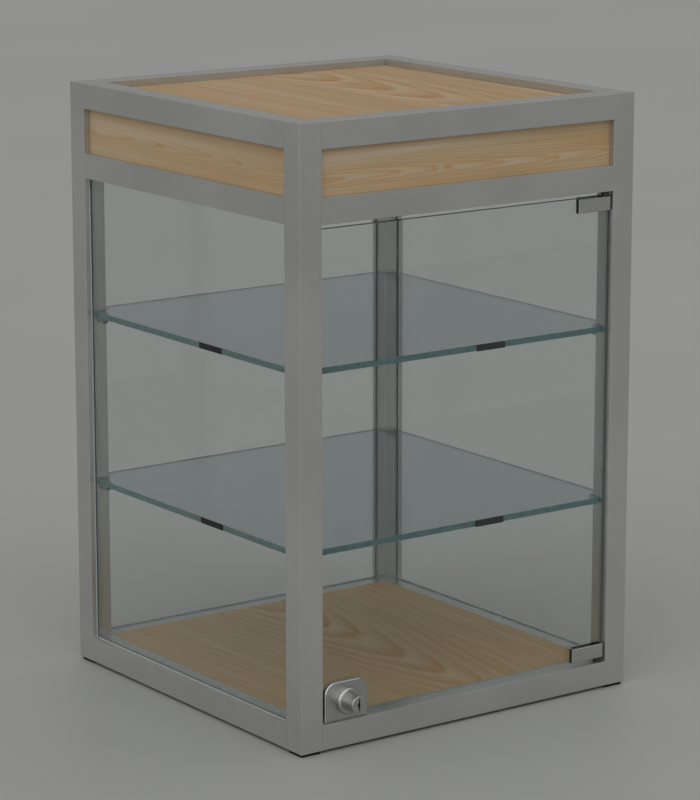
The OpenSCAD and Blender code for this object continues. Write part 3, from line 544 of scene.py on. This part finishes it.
SIDES = {"front": tube_x, "right": tube_y, "rear": tube_x, "left": tube_y}
looks = {}
for corner in ("front_left", "front_right", "rear_right", "rear_left"):
    looks["post_" + corner] = tube_z
for level in ("bottom", "middle", "top"):
    looks["corner_blocks_" + level] = alloy
    for side, tube in SIDES.items():
        looks["rail_" + level + "_" + side] = tube
for level in ("lower", "upper"):
    looks["shelf_" + level] = shelf_glass
    looks["shelf_buffers_" + level] = black
    looks["shelf_studs_" + level] = clear_plastic
    looks["hinge_clamp_" + level] = clamp_metal
    looks["pivot_bush_" + level] = dark_plastic
looks.update(
    fascia_front=wood_front, fascia_right=wood_right, fascia_rear=wood_rear, fascia_left=wood_left,
    top_board=wood_top, ceiling_board=wood_top, base_board=wood_base, base_board_screws=steel,
    pane_right=pane_x, pane_left=pane_x, pane_rear=pane_y, door_glass=pane_y,
    seal_right=seal_rubber, seal_rear=seal_rubber, seal_left=seal_rubber,
    feet=black, foot_screws=steel, hinge_liners=dark_plastic, hinge_grub_screws=steel,
    lock_case=satin, lock_plug=satin, lock_gaskets=black, lock_washer=steel, lock_nut=steel,
    lock_cam=steel, lock_cam_screw=steel,
)

for name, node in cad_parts.items():
    if not node.material_slots:
        node.data.materials.append(looks[name])
    for holder in node.material_slots:
        holder.material = looks[name]


def floor():
    """A plain pale floor that keeps the object's shadow."""
    half = FLOOR_SIZE / 2
    corners = [(-half, -half, 0), (half, -half, 0), (half, half, 0), (-half, half, 0)]
    mesh = bpy.data.meshes.new("floor")
    mesh.from_pydata(corners, [], [(0, 1, 2, 3)])
    obj = bpy.data.objects.new("floor", mesh)
    bpy.context.scene.collection.objects.link(obj)
    t = Tree("floor_paint")
    dark = shaded(FLOOR_GREY, FLOOR_DARK_SHARE)
    colour = t.two_tone(t.spots(*FLOOR_CLOUD), CRISP_STOPS, dark, FLOOR_GREY)
    mesh.materials.append(t.surface(t.principled(Base_Color=colour, Roughness=FLOOR_ROUGH)))


def backdrop():
    """A world that lights the object evenly and shows as plain grey, also in metal and glass."""
    world = bpy.data.worlds.new("studio")
    bpy.context.scene.world = world
    world.use_nodes = True
    nodes, links = world.node_tree.nodes, world.node_tree.links
    nodes.clear()
    path = nodes.new("ShaderNodeLightPath")
    seen = path.outputs["Is Camera Ray"]
    for kind in ("Is Transmission Ray", "Is Glossy Ray"):
        either = nodes.new("ShaderNodeMath")
        either.operation = "MAXIMUM"
        links.new(seen, either.inputs[0])
        links.new(path.outputs[kind], either.inputs[1])
        seen = either.outputs[0]
    mix = nodes.new("ShaderNodeMixShader")
    links.new(seen, mix.inputs[0])
    for slot, colour, strength in ((1, WHITE, WORLD_LIGHT), (2, BACKDROP_GREY, 1.0)):
        tone = nodes.new("ShaderNodeBackground")
        tone.inputs[0].default_value = opaque(colour)
        tone.inputs[1].default_value = strength
        links.new(tone.outputs[0], mix.inputs[slot])
    out = nodes.new("ShaderNodeOutputWorld")
    links.new(mix.outputs[0], out.inputs[0])


def lamp(name, level, spread, way):
    """A soft light from far off. Its level is what a white face square to it would add."""
    data = bpy.data.lights.new(name, "SUN")
    data.angle = math.radians(spread)
    data.energy = level * math.pi
    obj = bpy.data.objects.new(name, data)
    bpy.context.scene.collection.objects.link(obj)
    length = math.hypot(*way)
    obj.rotation_euler = (math.acos(way[Z] / length), 0.0, math.atan2(way[X], -way[Y]))


def camera():
    data = bpy.data.cameras.new("photo_camera")
    data.sensor_width = SENSOR_MM
    data.lens = FOCAL_PX * SENSOR_MM / LONG_SIDE_PX
    data.clip_start, data.clip_end = NEAR_CLIP, FAR_CLIP
    obj = bpy.data.objects.new("photo_camera", data)
    bpy.context.scene.collection.objects.link(obj)
    obj.location = CAMERA_AT
    obj.rotation_euler = (math.radians(90.0 - CAMERA_PITCH), 0.0, math.radians(-CAMERA_YAW))
    bpy.context.scene.camera = obj


floor()
backdrop()
for lamp_name, settings in LAMPS.items():
    lamp(lamp_name, *settings)
camera()
bpy.context.scene.view_settings.view_transform = "Standard"
